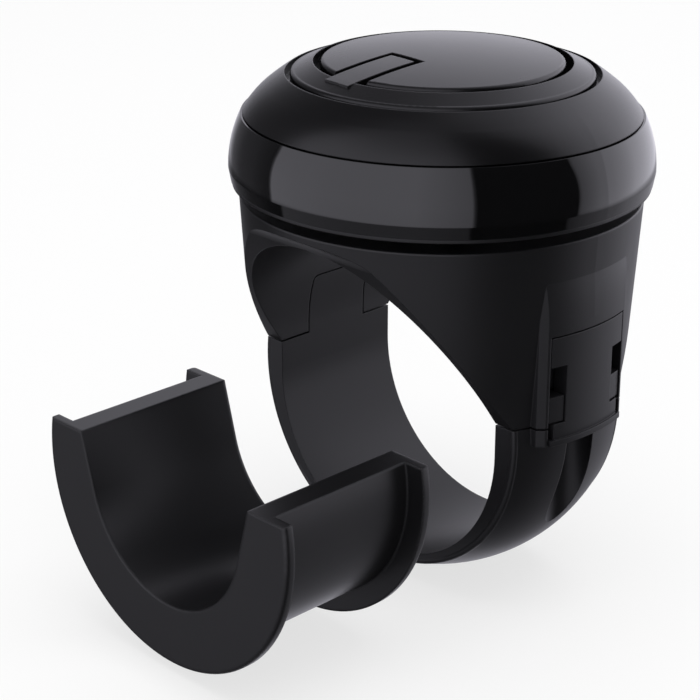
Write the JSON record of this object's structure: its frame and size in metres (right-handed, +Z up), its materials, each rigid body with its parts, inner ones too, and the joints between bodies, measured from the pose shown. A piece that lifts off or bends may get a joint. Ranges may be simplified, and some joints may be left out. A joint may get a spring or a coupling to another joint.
{
  "type": "steering wheel spinner knob",
  "caption": "Steering wheel spinner knob: a domed head on a ball bearing over a tapered body, with a hinged strap clamp, a rocking latch and a loose rim insert.",
  "frame": {"origin": "centre of the clamp bore, where the steering wheel's rim passes", "axes": "+Y along the clamp bore, +X towards the latch, +Z up along the knob's turning axis"},
  "size_m": [0.0582, 0.08, 0.0743],
  "materials": {
    "matte_black": "satin moulded black",
    "gloss_black": "polished black",
    "plated_steel": "zinc plated",
    "bearing_steel": "ground bearing steel"
  },
  "bodies": {
    "clamp": {"clamp_body": "matte_black", "hinge_pin": "plated_steel", "spindle_bolt": "plated_steel", "spacer_collar": "plated_steel", "bearing_inner_race": "bearing_steel", "spindle_washer": "plated_steel", "spindle_nut": "plated_steel"},
    "head": {"head_carrier": "matte_black", "gloss_ring": "gloss_black", "knob_cap": "matte_black", "index_ring": "matte_black", "centre_disc": "matte_black", "head_screws": "plated_steel", "bearing_outer_race": "bearing_steel"},
    "ball_train": {"bearing_cage": "plated_steel", "bearing_balls": "bearing_steel"},
    "strap": {"clamp_strap": "matte_black", "latch_pin": "plated_steel"},
    "rocker": {"latch": "matte_black"},
    "loose_insert": {"insert": "matte_black"}
  },
  "joints": [
    {"name": "knob_spin", "type": "hinge", "parent": "clamp", "child": "head", "pos_m": [0, 0, 0.0365], "axis": [0, 0, 1], "continuous": true},
    {"name": "ball_train_spin", "type": "hinge", "parent": "clamp", "child": "ball_train", "pos_m": [0, 0, 0.0365], "axis": [0, 0, 1], "continuous": true},
    {"name": "strap_hinge", "type": "hinge", "parent": "clamp", "child": "strap", "pos_m": [-0.0235, 0, 0.0074], "axis": [0, 1, 0], "range_deg": [0, 85]},
    {"name": "latch_rock", "type": "hinge", "parent": "strap", "child": "rocker", "pos_m": [0.0255, 0, 0.0072], "axis": [0, 1, 0], "range_deg": [0, 10], "stiffness_Nm_per_rad": 0.02, "springref_deg": -2.86},
    {"name": "insert_slide", "type": "slide", "parent": "clamp", "child": "loose_insert", "axis": [0, 1, 0], "range_m": [0, 0.0145]}
  ],
  "couplings": [
    {"joint": "ball_train_spin", "follows": "knob_spin", "ratio": 0.6323}
  ]
}
